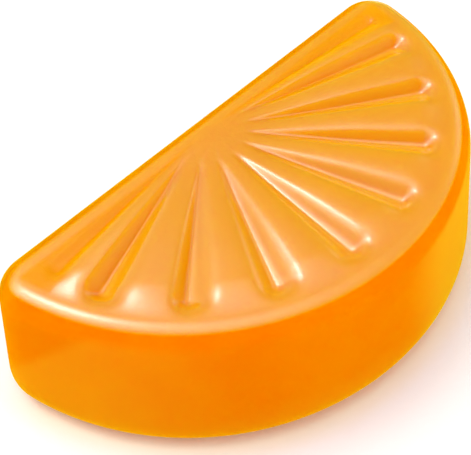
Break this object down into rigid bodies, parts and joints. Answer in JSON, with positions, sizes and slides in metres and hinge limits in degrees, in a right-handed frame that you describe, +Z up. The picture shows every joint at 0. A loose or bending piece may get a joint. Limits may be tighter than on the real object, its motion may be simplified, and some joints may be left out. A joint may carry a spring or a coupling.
{
  "type": "orange slice gummy",
  "caption": "Half-disc of clear orange fruit jelly with drafted sides, rounded edges and a fan of grooves pressed into the top like the segments of a cut orange",
  "frame": {"origin": "centre of the bounding box on the plane the slice rests on", "axes": "+X along the straight side, +Y from the round side to the straight side, +Z up through the grooved top"},
  "size_m": [0.0432, 0.0224, 0.0114],
  "materials": {
    "jelly": "glossy, translucent"
  },
  "bodies": {
    "root": {"slice": "jelly"}
  },
  "joints": []
}
